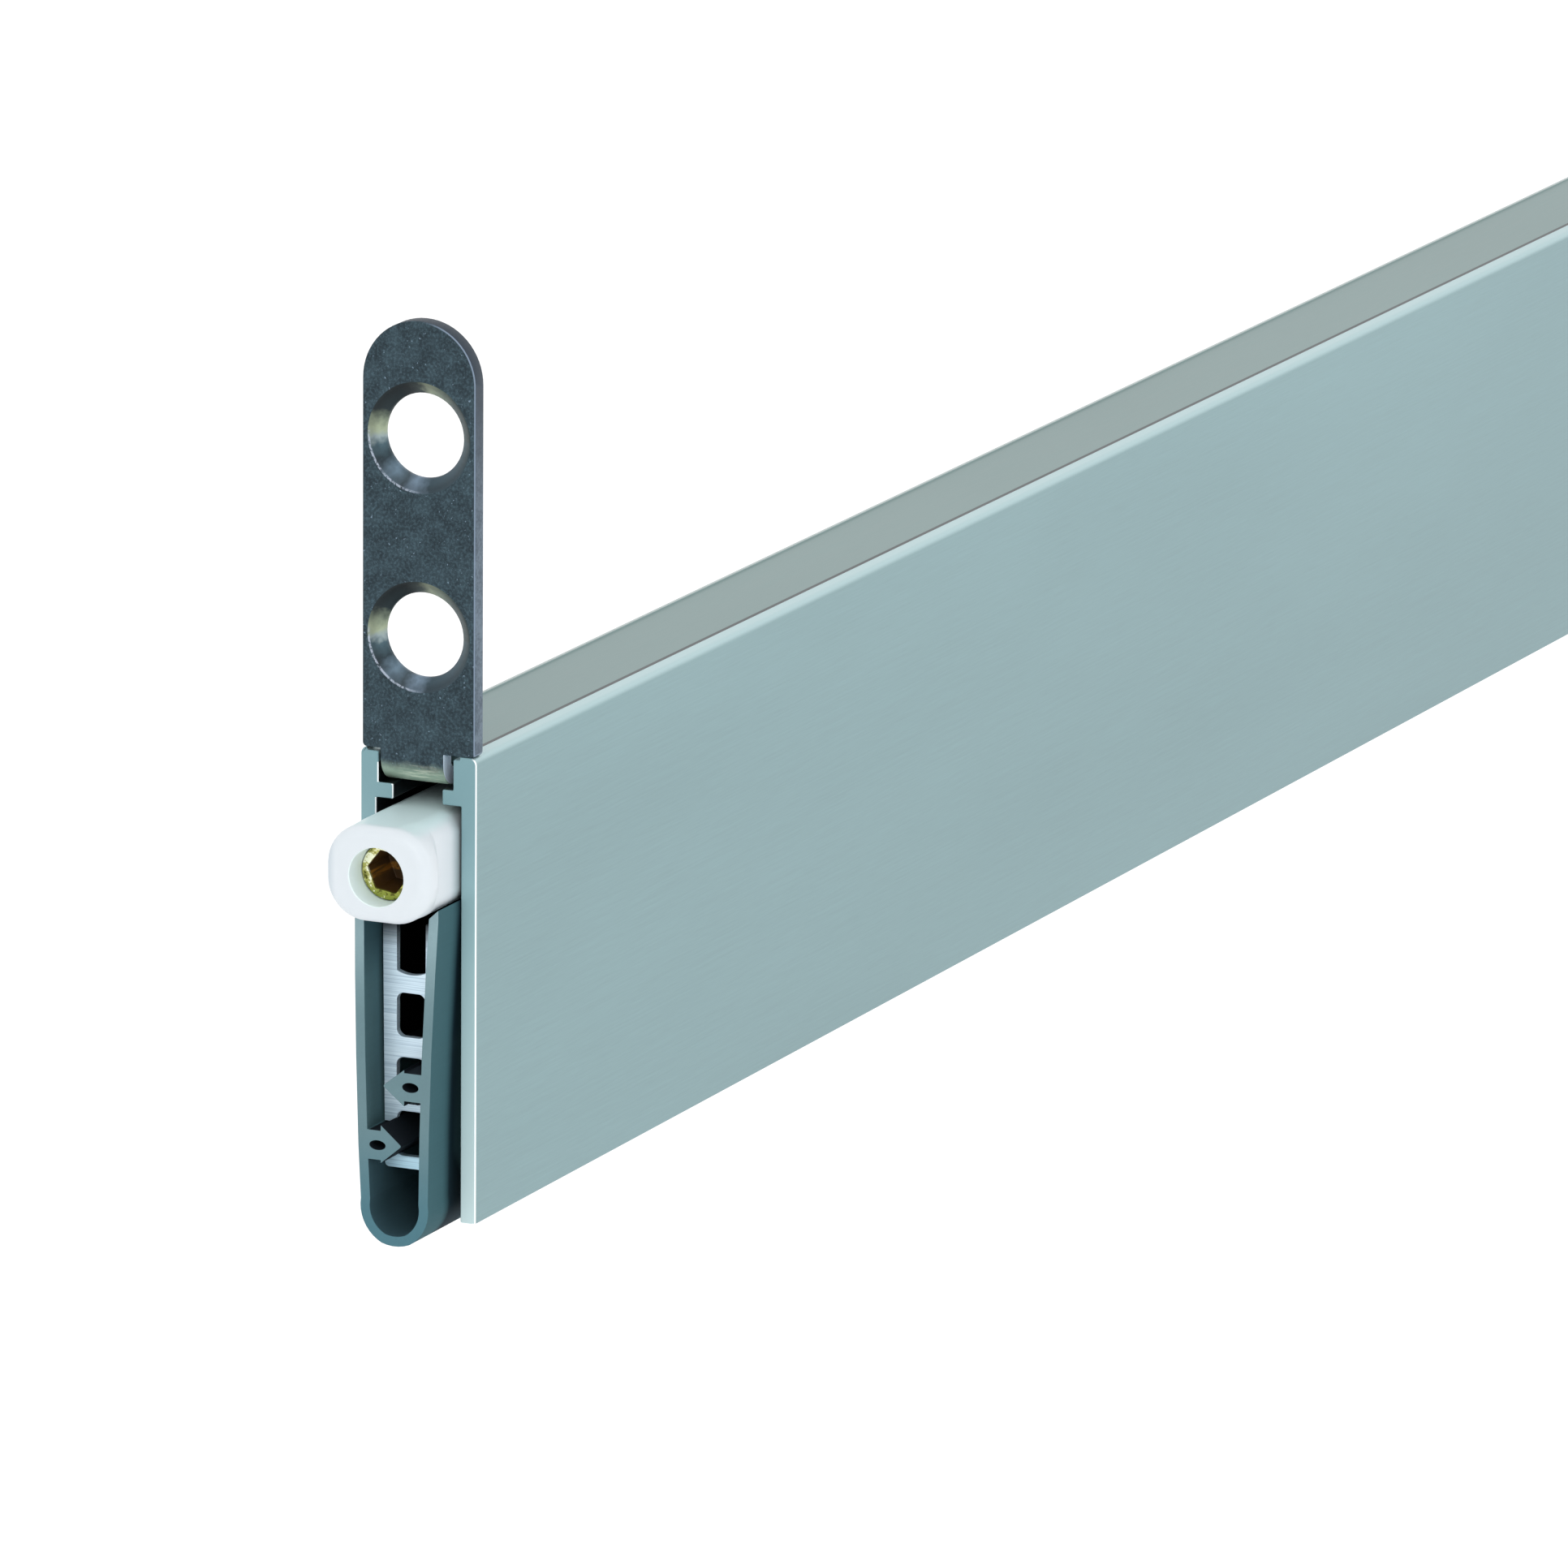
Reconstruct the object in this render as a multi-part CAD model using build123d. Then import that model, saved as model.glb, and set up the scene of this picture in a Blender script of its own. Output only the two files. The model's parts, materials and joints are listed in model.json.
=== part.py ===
from build123d import *
import os
from math import acos, cos, degrees, pi, radians, sin, sqrt

# Automatic drop-down seal for the bottom edge of a door, in a narrow aluminium housing.
# Millimetres, +Z up, X along the length. The drawing starts at x = 0, at the end of the housing
# that carries the plunger, and every piece is moved to the middle of the length at export.
# The near long side is at -Y. z = 0 is the top face of the housing, which bears on the groove.

# Housing section
length = 335.0
housing_half = 4.0
lip_height = 0.15
housing_bottom = -29.85
corner_radius = 0.45
lip_near_inner = -2.84
lip_far_inner = 3.59
web_bottom = -0.75
slot_near, slot_far = -2.4, 2.8
rib_top, rib_bottom = -2.05, -3.02
rib_near_tip, rib_far_tip = -1.65, 1.77
cavity_half = 2.95
notch_depth, seat_depth = 1.8, 0.06

# End brackets, folded from sheet
sheet = 1.2
plate_half = 3.9
plate_round_centre = 23.7
hole_radius = 2.7
hole_heights = (7.5, 20.2)
sink_radius = 3.5
tongue_near, tongue_far = -1.73, 2.65
tongue_top = -0.8
bend_inner = 0.3
tongue_length = 30.0

# Plunger, adjusting screw and push rod
axis_z = -6.55
bar_width, bar_corner = 5.6, 1.4
head_width, head_height, head_corner = 7.2, 6.15, 2.6
head_centre_z = -6.475
head_front, head_back, flare_end = -6.0, -4.5, -3.3
head_edge = 0.8
plunger_end = 16.0
bore_radius, bore_end = 1.88, 1.1
shank_clearance_radius = 1.5
screw_head_radius, screw_head_front, screw_head_back = 1.83, -4.3, 1.05
screw_radius, screw_end = 1.45, 24.0
socket_flats, socket_turn, socket_depth = 2.5, 8.0, 3.0
collar_radius, collar_span = 2.3, (16.1, 17.5)
nut_half, nut_span = 2.5, (18.0, 30.0)
nut_bore_end, fork_start = 24.6, 25.0
rod_half_thickness, rod_half_height = 0.6, 2.3
rod_end = 232.0

# Linkage: two pairs of equal links that push the carrier down
link_length = 40.0
link_half_width = 1.6
link_span = (0.65, 1.2)
rest_height = 5.6
drop = 11.0
upper_pivots = (62.0, 176.0)
pin_radius = 0.75
pivot_clearance = 0.05
pin_head_radius, pin_head_thickness = 1.2, 0.35
lower_pin_half = 1.7
link_reach = sqrt(link_length**2 - rest_height**2)
lower_pivot_z = axis_z - rest_height
stroke = link_reach - sqrt(link_length**2 - (rest_height + drop) ** 2)
swing = acos((link_reach - stroke) / link_length) - acos(link_reach / link_length)

# Return spring, its pin and the guides in the housing
flange_radius, flange_span = 2.3, (232.0, 233.5)
fork_cheek_half, fork_cheek_height, fork_cheek_start = 1.7, 1.6, 226.0
tail_pin_radius, tail_pin_end = 1.0, 257.5
spring_radius, spring_wire = 1.85, 0.25
spring_turns, spring_runs = 6, 9
guide_half = 2.2
guide_bottom = -9.6
guide_centres = (45.0, 150.0)
guide_length = 8.0
guide_clearance = 0.1
block_span = (256.0, 272.0)
tail_bore_radius, tail_bore_end = 1.1, 261.5
leg_span, leg_half, leg_bottom = (260.0, 267.0), 1.2, -18.3
post_x, post_radius, post_top = 264.0, 0.8, -3.8
post_head_radius, post_head_thickness = 1.3, 0.4
grub_x, grub_radius, grub_bottom = 269.5, 1.2, -5.3
grub_socket_flats, grub_socket_depth = 1.3, 1.5

# Carrier channel and the stamped clips that hold the seal
channel_half, channel_wall = 1.7, 0.4
channel_top, channel_bottom = -10.4, -19.0
pin_slot_height, pin_slot_back, pin_slot_ahead = 1.9, 0.95, 1.45
clip_front, clip_sheet = -0.9, 0.5
clip_top, clip_bottom = -10.6, -26.5
clip_near_edge = [(-2.0, -10.6), (-1.66, -18.3), (-1.48, -26.5)]
clip_far_edge = [(1.86, -26.5), (2.02, -10.6)]
window_near, window_far = -0.95, 1.04
notch_floor, notch_sag = -13.75, 0.22
tab_window = (-18.0, -15.16)
near_window, near_notch = (-22.3, -19.32), (-21.58, -19.52)
far_window, far_notch = (-25.68, -22.79), (-25.6, -23.55)
window_corner = 0.5
tab_length, tab_half = 2.9, 0.8
mid_clip_places = (84.0, 168.0, 251.0)
mid_tab_shift = 0.4

# Seal strip
seal_overhang = 3.1
seal_half, seal_wall = 2.9, 0.65
near_leg = [(-2.9, -8.0), (-2.9, -9.7), (-2.69, -13.2), (-2.43, -18.3), (-2.27, -23.5), (-2.2, -28.1)]
far_leg = [(2.46, -28.1), (2.64, -24.65), (2.8, -18.9), (2.88, -13.7), (2.9, -9.7), (2.9, -8.0)]
seal_foot = [(-1.87, -29.85), (-0.9, -30.8), (0.05, -31.0), (1.0, -30.86), (2.05, -29.95)]
leg_top, leg_bevel = -9.0, 0.6
near_root, near_stem, near_barb = -2.0, (-21.52, -19.7), (-21.86, -19.5)
near_shoulder, near_tip, near_hollow = -0.55, 0.95, -0.98
far_root, far_stem, far_barb = 2.3, (-25.52, -23.62), (-25.72, -23.25)
far_shoulder, far_tip, far_hollow = 1.08, -0.38, 1.3
tip_radius = 0.12
hollow_half_width, hollow_half_height = 0.56, 0.31


def block(x_span, y_span, z_span):
    spans = (x_span, y_span, z_span)
    middle = [(low + high) / 2 for low, high in spans]
    size = [high - low for low, high in spans]
    return Pos(*middle) * Box(*size)


def rod_x(radius, x_span, z, y=0.0):
    middle = (x_span[0] + x_span[1]) / 2
    return Pos(middle, y, z) * Rot(0, 90, 0) * Cylinder(radius, x_span[1] - x_span[0])


def rod_y(radius, y_span, x, z):
    middle = (y_span[0] + y_span[1]) / 2
    return Pos(x, middle, z) * Rot(90, 0, 0) * Cylinder(radius, y_span[1] - y_span[0])


def rod_z(radius, z_span, x, y=0.0):
    middle = (z_span[0] + z_span[1]) / 2
    return Pos(x, y, middle) * Cylinder(radius, z_span[1] - z_span[0])


def area(a_span, b_span):
    middle = [(low + high) / 2 for low, high in (a_span, b_span)]
    return Pos(*middle) * Rectangle(a_span[1] - a_span[0], b_span[1] - b_span[0])


def along_x(sketch, x_span):
    return extrude(Plane.YZ.offset(x_span[0]) * sketch, amount=x_span[1] - x_span[0])


def along_y(sketch, y_span):
    return extrude(Plane.XZ.offset(-y_span[1]) * sketch, amount=y_span[1] - y_span[0])


def hexagon(flats):
    return RegularPolygon(flats / 2 / cos(radians(30)), 6)


def mirrored(shape):
    return mirror(shape, about=Plane.YZ.offset(length / 2))


# The extrusion: two walls, a recessed top web, a T-slot under it and an open lower chamber
def housing():
    section = area((-housing_half, housing_half), (housing_bottom, lip_height))
    section = fillet(section.vertices().group_by(Axis.Y)[-1], corner_radius)
    section -= area((lip_near_inner, lip_far_inner), (0, lip_height + 1))
    section -= area((slot_near, slot_far), (rib_top, web_bottom))
    section -= area((rib_near_tip, rib_far_tip), (rib_bottom, rib_top))
    section -= area((-cavity_half, cavity_half), (housing_bottom - 1, rib_bottom))
    body = along_x(section, (0, length))
    notch = block((-1, notch_depth), (slot_near, slot_far), (web_bottom, lip_height + 1))
    notch += block((-1, notch_depth), (lip_near_inner, lip_far_inner), (-seat_depth, lip_height + 1))
    return body - notch - mirrored(notch)


# Upright plate with two countersunk holes, a neck through the notch and a tongue in the T-slot
def bracket():
    outline = area((-plate_half, plate_half), (lip_height, plate_round_centre))
    outline = fillet(outline.vertices().group_by(Axis.Y)[0], bend_inner)
    outline += Pos(0, plate_round_centre) * Circle(plate_half)
    plate = along_x(outline, (0, sheet))
    bend_centre = (sheet + bend_inner, tongue_top + bend_inner)
    bend = Pos(*bend_centre) * (Circle(sheet + bend_inner) - Circle(bend_inner))
    bend &= area((0, bend_centre[0]), (bend_centre[1] - 2 * sheet, bend_centre[1]))
    strip = bend + area((0, sheet), (bend_centre[1], lip_height + sheet))
    strip += area((bend_centre[0], bend_centre[0] + tongue_length), (tongue_top - sheet, tongue_top))
    plate += along_y(strip, (tongue_near, tongue_far))
    depth = sink_radius - hole_radius
    for height in hole_heights:
        plate -= rod_x(hole_radius, (-1, sheet + 1), height)
        plate -= Pos(depth / 2, 0, height) * Rot(0, 90, 0) * Cone(sink_radius, hole_radius, depth)
    return plate


# Moulded plunger: a broad rounded head that flares down to a square bar
def plunger():
    centre = Pos(0, head_centre_z)
    head_section = centre * RectangleRounded(head_width, head_height, head_corner)
    bar_section = centre * RectangleRounded(bar_width, head_height, bar_corner)
    head = along_x(head_section, (head_front, head_back))
    head = fillet(head.faces().sort_by(Axis.X)[0].edges(), head_edge)
    front = Plane.YZ.offset(head_back) * head_section
    back = Plane.YZ.offset(flare_end) * bar_section
    body = head + loft([front, back], ruled=True) + along_x(bar_section, (flare_end, plunger_end))
    body -= rod_x(bore_radius, (head_front - 1, bore_end), axis_z)
    return body - rod_x(shank_clearance_radius, (0, plunger_end + 1), axis_z)


# Adjusting screw that turns in the plunger and runs in the nut on the push rod
def adjust_screw():
    head = rod_x(screw_head_radius, (screw_head_front, screw_head_back), axis_z)
    head = chamfer(head.faces().sort_by(Axis.X)[0].edges(), 0.08)
    socket = Pos(0, axis_z) * Rot(0, 0, socket_turn) * hexagon(socket_flats)
    head -= along_x(socket, (screw_head_front - 1, screw_head_front + socket_depth))
    return head + rod_x(screw_radius, (screw_head_back, screw_end), axis_z)


def screw_collar():
    ring = rod_x(collar_radius, collar_span, axis_z)
    return ring - rod_x(screw_radius, (collar_span[0] - 1, collar_span[1] + 1), axis_z)


def rod_nut():
    sides = (-nut_half, nut_half)
    nut = block(nut_span, sides, (axis_z - nut_half, axis_z + nut_half))
    nut = chamfer(nut.edges().filter_by(Axis.X), 0.6)
    nut -= rod_x(shank_clearance_radius, (nut_span[0] - 1, nut_bore_end), axis_z)
    return nut - block((fork_start, nut_span[1] + 1), (-rod_half_thickness, rod_half_thickness), (-20, 0))


def push_rod():
    low, high = axis_z - rod_half_height, axis_z + rod_half_height
    blade = block((fork_start, rod_end), (-rod_half_thickness, rod_half_thickness), (low, high))
    for place in upper_pivots:
        blade -= rod_y(pin_radius, (-1, 1), place, axis_z)
    return blade


# Fork, spring seat and pin at the tail of the rod
def tail_pin():
    height = (axis_z - fork_cheek_height, axis_z + fork_cheek_height)
    fork = block((fork_cheek_start, flange_span[0]), (-fork_cheek_half, fork_cheek_half), height)
    fork -= block((fork_cheek_start - 1, flange_span[0]), (-rod_half_thickness, rod_half_thickness), (-20, 0))
    flange = rod_x(flange_radius, flange_span, axis_z)
    return fork + flange + rod_x(tail_pin_radius, (flange_span[1], tail_pin_end), axis_z)


# Compression spring round the tail pin; each turn is a ring of short straight runs
def return_spring():
    start = flange_span[1] + spring_wire
    reach = block_span[0] - spring_wire - start
    runs = spring_turns * spring_runs
    angles = [2 * pi * spring_turns * step / runs for step in range(runs + 1)]
    points = [(spring_radius * cos(a), spring_radius * sin(a), reach * a / angles[-1]) for a in angles]
    coil = Polyline(*points)
    wire = Plane(origin=coil @ 0, z_dir=coil % 0) * RegularPolygon(spring_wire, 6)
    spring = sweep(wire, path=coil, transition=Transition.RIGHT)
    return Pos(start, 0, axis_z) * Rot(0, 90, 0) * spring


# T-shaped head that slides in the slot, with a body below the ribs
def slot_head(x_span):
    head_sides = (slot_near + guide_clearance, slot_far - guide_clearance)
    head = block(x_span, head_sides, (rib_top, web_bottom - 0.05))
    neck_sides = (rib_near_tip + guide_clearance, rib_far_tip - guide_clearance)
    neck = block(x_span, neck_sides, (rib_bottom - 0.05, rib_top))
    body = block(x_span, (-guide_half, guide_half), (guide_bottom, rib_bottom - 0.05))
    return head + neck + body


def rod_guide(centre):
    span = (centre - guide_length / 2, centre + guide_length / 2)
    slot_half = rod_half_thickness + guide_clearance
    slot_reach = rod_half_height + guide_clearance
    slot = block((span[0] - 1, span[1] + 1), (-slot_half, slot_half), (axis_z - slot_reach, axis_z + slot_reach))
    return slot_head(span) - slot


# Fixed block that takes the spring, guides the tail pin and steadies the carrier on its post
def guide_block():
    body = slot_head(block_span)
    body += block(leg_span, (-leg_half, leg_half), (leg_bottom, guide_bottom))
    body -= rod_x(tail_bore_radius, (block_span[0] - 1, tail_bore_end), axis_z)
    body -= rod_z(post_radius + pivot_clearance, (leg_bottom - 1, post_top + 0.3), post_x)
    return body - rod_z(grub_radius, (guide_bottom - 1, 0), grub_x)


def block_screw():
    screw = rod_z(grub_radius, (grub_bottom, web_bottom), grub_x)
    socket = Pos(grub_x, 0, grub_bottom) * hexagon(grub_socket_flats)
    return screw - extrude(socket, amount=grub_socket_depth)


# Headed pin through the rod that carries a pair of links
def pivot_pin(x):
    half = link_span[1] + pivot_clearance
    pin = rod_y(pin_radius, (-half, half), x, axis_z)
    return pin + rod_y(pin_head_radius, (-half - pin_head_thickness, -half), x, axis_z)


# Flat link with a free bore at the rod and a fixed bore at the carrier
def link_plate(x, side):
    tilt = Rot(0, 0, -degrees(acos(link_reach / link_length)))
    strip = SlotCenterToCenter(link_length, 2 * link_half_width)
    strip -= Pos(-link_length / 2, 0) * Circle(pin_radius + pivot_clearance)
    strip -= Pos(link_length / 2, 0) * Circle(pin_radius)
    placed = Pos(x, axis_z) * tilt * Pos(link_length / 2, 0) * strip
    faces = sorted((side * link_span[0], side * link_span[1]))
    return along_y(placed, faces)


def lower_pin(x):
    return rod_y(pin_radius, (-lower_pin_half, lower_pin_half), x + link_reach, lower_pivot_z)


# Pressed U-channel, open at the top, slotted for the link pins
def carrier_channel():
    clip_back = clip_front + clip_sheet
    span = (clip_back, length - clip_back)
    inner = channel_half - channel_wall
    section = area((-channel_half, channel_half), (channel_bottom, channel_top))
    section = fillet(section.vertices().group_by(Axis.Y)[0], channel_wall)
    section -= area((-inner, inner), (channel_bottom + channel_wall, channel_top + 1))
    body = along_x(section, span)
    for x in upper_pivots:
        centre = x + link_reach
        slot = area((-pin_slot_back, pin_slot_ahead), (-pin_slot_height / 2, pin_slot_height / 2))
        body -= along_y(Pos(centre, lower_pivot_z) * slot, (-5, 5))
    return body - rod_z(post_radius, (channel_bottom - 1, channel_bottom + 1), post_x)


def guide_post():
    shank = rod_z(post_radius, (channel_bottom, post_top), post_x)
    return shank + rod_z(post_head_radius, (channel_bottom - post_head_thickness, channel_bottom), post_x)


def clip_outline(top):
    outline = make_face(Polyline(*clip_near_edge, *clip_far_edge, close=True))
    outline &= area((-2 * channel_half, 2 * channel_half), (clip_bottom, top))
    return fillet(outline.vertices().group_by(Axis.Y)[0], 0.3)


def window(z_span):
    return area((window_near, window_far), z_span)


def rounded_window(z_span):
    return fillet(window(z_span).vertices(), window_corner)


# Windows for the two arrow ribs of the seal, each open at the side that its rib comes from
def seal_windows(shape):
    cut = shape(near_window) + area((-2 * channel_half, 0), near_notch)
    return cut + shape(far_window) + area((0, 2 * channel_half), far_notch)


# Top of the ladder plate, open and with a sagging floor
def top_notch():
    middle = (window_near + window_far) / 2
    near_corner, far_corner = (window_near, notch_floor), (window_far, notch_floor)
    floor = ThreePointArc(near_corner, (middle, notch_floor - notch_sag), far_corner)
    sides = Polyline(far_corner, (window_far, -5), (window_near, -5), near_corner)
    return make_face([floor, sides])


# Ladder plate at the end of the carrier, with its tab folded back on to the channel
def end_clip():
    outline = clip_outline(clip_top) - seal_windows(rounded_window)
    outline -= top_notch() + rounded_window(tab_window)
    clip_back = clip_front + clip_sheet
    plate = along_x(outline, (clip_front, clip_back))
    web_top = channel_bottom + channel_wall
    tab_span = (clip_back, clip_back + tab_length)
    return plate + block(tab_span, (-tab_half, tab_half), (web_top, web_top + clip_sheet))


# Short clip under the channel, part way along the seal
def mid_clip(x):
    plate = along_x(clip_outline(channel_bottom) - seal_windows(window), (x, x + clip_sheet))
    sides = (mid_tab_shift - tab_half, mid_tab_shift + tab_half)
    tab_span = (x + clip_sheet, x + clip_sheet + tab_length)
    tab = block(tab_span, sides, (channel_bottom - clip_sheet, channel_bottom))
    return plate + tab


# Arrow-shaped rib that hooks through the clip windows
def arrow_rib(root, stem, shoulder, barb, tip):
    middle = (barb[0] + barb[1]) / 2
    corners = [(root, stem[0]), (shoulder, stem[0]), (shoulder, barb[0]), (tip, middle)]
    corners += [(shoulder, barb[1]), (shoulder, stem[1]), (root, stem[1])]
    rib = make_face(Polyline(*corners, close=True))
    points = rib.vertices().sort_by(Axis.X)
    return fillet(points[-1] if tip > root else points[0], tip_radius)


def hollow(y, stem):
    return Pos(y, (stem[0] + stem[1]) / 2) * Ellipse(hollow_half_width, hollow_half_height)


# Soft loop, open at the top, where its legs are bevelled clear of the plunger
def seal():
    foot = [near_leg[-1], *seal_foot, far_leg[0]]
    lines = [Polyline(*near_leg), Polyline(*far_leg), Line(far_leg[-1], near_leg[0])]
    lines += [ThreePointArc(*foot[first:first + 3]) for first in (0, 2, 4)]
    outer = make_face(lines)
    section = outer - offset(outer, amount=-seal_wall)
    section += arrow_rib(near_root, near_stem, near_shoulder, near_barb, near_tip)
    section += arrow_rib(far_root, far_stem, far_shoulder, far_barb, far_tip)
    section -= hollow(near_hollow, near_stem) + hollow(far_hollow, far_stem)
    inner = seal_half - seal_wall
    low = leg_top - leg_bevel
    bevels = Polyline((-seal_half, leg_top), (-inner, low), (inner, low), (seal_half, leg_top), close=True)
    section -= make_face(bevels) + area((-seal_half, seal_half), (leg_top, 0))
    return along_x(section, (-seal_overhang, length + seal_overhang))


pieces = {
    "housing": housing(),
    "near_bracket": bracket(),
    "far_bracket": mirrored(bracket()),
    "plunger": plunger(),
    "adjust_screw": adjust_screw(),
    "screw_collar": screw_collar(),
    "rod_nut": rod_nut(),
    "push_rod": push_rod(),
    "tail_pin": tail_pin(),
    "return_spring": return_spring(),
    "guide_block": guide_block(),
    "block_screw": block_screw(),
    "carrier_channel": carrier_channel(),
    "guide_post": guide_post(),
    "near_end_clip": end_clip(),
    "far_end_clip": mirrored(end_clip()),
    "seal": seal(),
}
for number, centre in enumerate(guide_centres, 1):
    pieces[f"rod_guide_{number}"] = rod_guide(centre)
for number, x in enumerate(upper_pivots, 1):
    pieces[f"link_{number}_near"] = link_plate(x, -1)
    pieces[f"link_{number}_far"] = link_plate(x, 1)
    pieces[f"upper_pin_{number}"] = pivot_pin(x)
    pieces[f"lower_pin_{number}"] = lower_pin(x)
for number, x in enumerate(mid_clip_places, 1):
    pieces[f"mid_clip_{number}"] = mid_clip(x)

os.makedirs("parts", exist_ok=True)
for name, shape in pieces.items():
    export_step(Pos(-length / 2, 0, 0) * shape, f"parts/{name}.step")
print(f"{len(pieces)} pieces, stroke {stroke:.3f} mm, link swing {swing:.4f} rad")
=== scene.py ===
import json
import math

import bmesh
import bpy
from mathutils import Matrix, Quaternion, Vector


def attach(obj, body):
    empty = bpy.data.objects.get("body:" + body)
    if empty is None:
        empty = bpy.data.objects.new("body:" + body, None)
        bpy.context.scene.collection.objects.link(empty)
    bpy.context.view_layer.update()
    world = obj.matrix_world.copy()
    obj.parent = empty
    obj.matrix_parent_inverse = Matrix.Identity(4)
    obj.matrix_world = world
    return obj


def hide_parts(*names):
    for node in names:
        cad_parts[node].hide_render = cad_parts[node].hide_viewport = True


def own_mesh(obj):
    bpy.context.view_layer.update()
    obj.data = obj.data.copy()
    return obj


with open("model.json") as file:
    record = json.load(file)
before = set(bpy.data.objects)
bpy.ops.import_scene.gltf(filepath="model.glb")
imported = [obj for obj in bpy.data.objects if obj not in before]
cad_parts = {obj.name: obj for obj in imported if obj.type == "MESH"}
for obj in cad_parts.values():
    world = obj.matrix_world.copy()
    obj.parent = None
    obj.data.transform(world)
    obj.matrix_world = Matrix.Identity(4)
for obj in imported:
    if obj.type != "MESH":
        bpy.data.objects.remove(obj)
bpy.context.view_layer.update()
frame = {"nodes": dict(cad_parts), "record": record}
mm = 0.001
nodes = frame["nodes"]
print("frame loaded", len(nodes), "nodes")


# Shader maths on sockets, written as Python expressions
class Signal:
    def __init__(self, finish, socket):
        self.finish = finish
        self.socket = socket

    def maths(self, operation, *values):
        return self.finish.node("ShaderNodeMath", {"operation": operation}, dict(enumerate(values)))

    def __add__(self, other):
        return self.maths("ADD", self, other)

    def __radd__(self, other):
        return self.maths("ADD", other, self)

    def __sub__(self, other):
        return self.maths("SUBTRACT", self, other)

    def __rsub__(self, other):
        return self.maths("SUBTRACT", other, self)

    def __mul__(self, other):
        return self.maths("MULTIPLY", self, other)

    def __truediv__(self, other):
        return self.maths("DIVIDE", self, other)

    def __pow__(self, other):
        return self.maths("POWER", self, other)

    def __neg__(self):
        return self.maths("MULTIPLY", self, -1.0)

    def __abs__(self):
        return self.maths("ABSOLUTE", self)


# Sockets of the mix node when it mixes colours
mixShare, mixFirst, mixSecond, mixResult = 0, 6, 7, 2

# Inputs of the surface shader by the names that the finishes use
surfaceInputs = {
    "baseColor": "Base Color",
    "metallic": "Metallic",
    "roughness": "Roughness",
    "specular": "Specular IOR Level",
    "subsurface": "Subsurface Weight",
    "subsurfaceScale": "Subsurface Scale",
    "subsurfaceRadius": "Subsurface Radius",
    "normal": "Normal",
}


class Finish:
    def __init__(self, name):
        self.material = bpy.data.materials.new(name)
        self.material.use_nodes = True
        self.tree = self.material.node_tree
        self.tree.nodes.clear()
        self.out = self.tree.nodes.new("ShaderNodeOutputMaterial")
        self.place = self.node("ShaderNodeTexCoord", {"output": "Object"})
        axes = self.tree.nodes.new("ShaderNodeSeparateXYZ")
        self.tree.links.new(self.place.socket, axes.inputs[0])
        self.x, self.y, self.z = (Signal(self, socket) for socket in axes.outputs)

    def node(self, kind, settings=None, inputs=None):
        made = self.tree.nodes.new(kind)
        output = 0
        for key, value in (settings or {}).items():
            if key == "output":
                output = value
            elif key == "stops":
                ramp = made.color_ramp
                while len(ramp.elements) < len(value):
                    ramp.elements.new(1.0)
                for element, (position, colour) in zip(ramp.elements, value):
                    element.position = position
                    element.color = colour
            else:
                setattr(made, key, value)
        for key, value in (inputs or {}).items():
            if isinstance(value, Signal):
                self.tree.links.new(value.socket, made.inputs[key])
            else:
                made.inputs[key].default_value = value
        return Signal(self, made.outputs[output])

    # 0 below low, 1 above high, with a smooth step between
    def step(self, value, low, high):
        settings = {"interpolation_type": "SMOOTHSTEP"}
        inputs = {"Value": value, "From Min": low, "From Max": high}
        return self.node("ShaderNodeMapRange", settings, inputs)

    # toLow at low, toHigh at high, straight between them and level outside
    def spread(self, value, low, high, toLow, toHigh):
        inputs = {"Value": value, "From Min": low, "From Max": high, "To Min": toLow, "To Max": toHigh}
        return self.node("ShaderNodeMapRange", {"clamp": True}, inputs)

    def larger(self, first, second):
        return self.node("ShaderNodeMath", {"operation": "MAXIMUM"}, {0: first, 1: second})

    def distance(self, across, up):
        return (across * across + up * up) ** 0.5

    def mix(self, share, first, second):
        inputs = {mixShare: share, mixFirst: solid(first), mixSecond: solid(second)}
        return self.node("ShaderNodeMix", {"data_type": "RGBA", "output": mixResult}, inputs)

    def tint(self, colour, brightness):
        settings = {"data_type": "RGBA", "blend_type": "MULTIPLY", "output": mixResult}
        inputs = {mixShare: 1.0, mixFirst: solid(colour), mixSecond: brightness}
        return self.node("ShaderNodeMix", settings, inputs)

    # Noise with its grain drawn out by a scale for each axis, in features per metre
    def noise(self, scale, detail=3.0, roughness=0.55, shift=0.0):
        place = {"Vector": self.place, "Location": (shift, shift, shift), "Scale": scale}
        mapped = self.node("ShaderNodeMapping", {"vector_type": "POINT"}, place)
        inputs = {"Vector": mapped, "Scale": 1.0, "Detail": detail, "Roughness": roughness}
        return self.node("ShaderNodeTexNoise", {}, inputs)

    def bump(self, height, strength, distance):
        return self.node("ShaderNodeBump", {}, {"Height": height, "Strength": strength, "Distance": distance})

    def surface(self, **inputs):
        inputs["baseColor"] = solid(inputs["baseColor"])
        values = {surfaceInputs[key]: value for key, value in inputs.items()}
        shader = self.node("ShaderNodeBsdfPrincipled", {}, values)
        self.tree.links.new(shader.socket, self.out.inputs["Surface"])
        return self.material


def solid(value):
    return (*value, 1.0) if isinstance(value, tuple) else value


# Linear colour from the red, green and blue that a screen shows
def shown(red, green, blue):
    parts = [channel / 255.0 for channel in (red, green, blue)]
    return tuple(p / 12.92 if p <= 0.04045 else ((p + 0.055) / 1.055) ** 2.4 for p in parts)


# Unit for the widths of the soft borders between tones
feather = 0.01 * mm


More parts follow.
